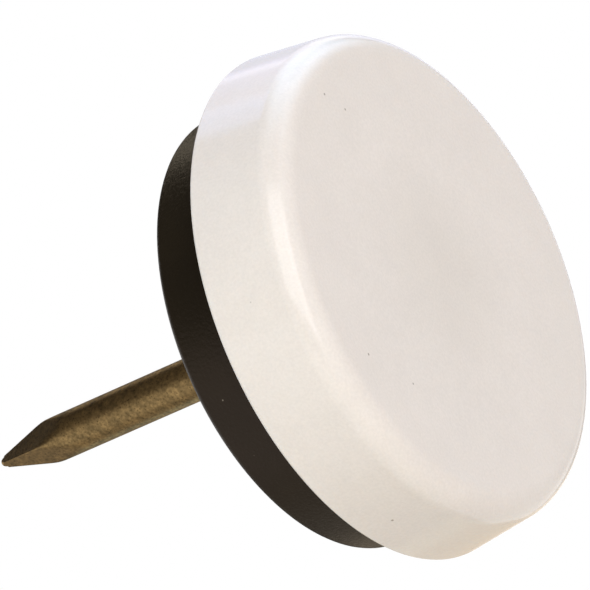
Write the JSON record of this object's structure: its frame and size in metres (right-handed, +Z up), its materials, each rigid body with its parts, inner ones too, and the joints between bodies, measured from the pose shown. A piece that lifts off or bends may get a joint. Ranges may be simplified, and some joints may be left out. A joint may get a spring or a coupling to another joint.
{
  "type": "nail-on furniture glide",
  "caption": "Round furniture glide with a white plastic sole on a black rubber cushion and a plated nail that is driven into the end of a chair or table leg.",
  "frame": {"origin": "centre of the sole's face at floor level", "axes": "+Z up along the nail, away from the floor; an arris of the nail's point faces -Y"},
  "size_m": [0.0286, 0.0286, 0.0309],
  "materials": {
    "sole": "satin-gloss moulded white polyethylene",
    "cushion": "matte moulded black rubber",
    "nail": "brass-plated drawn steel wire, dulled"
  },
  "bodies": {
    "root": {"sole": "sole", "cushion": "cushion", "nail": "nail"}
  },
  "joints": []
}
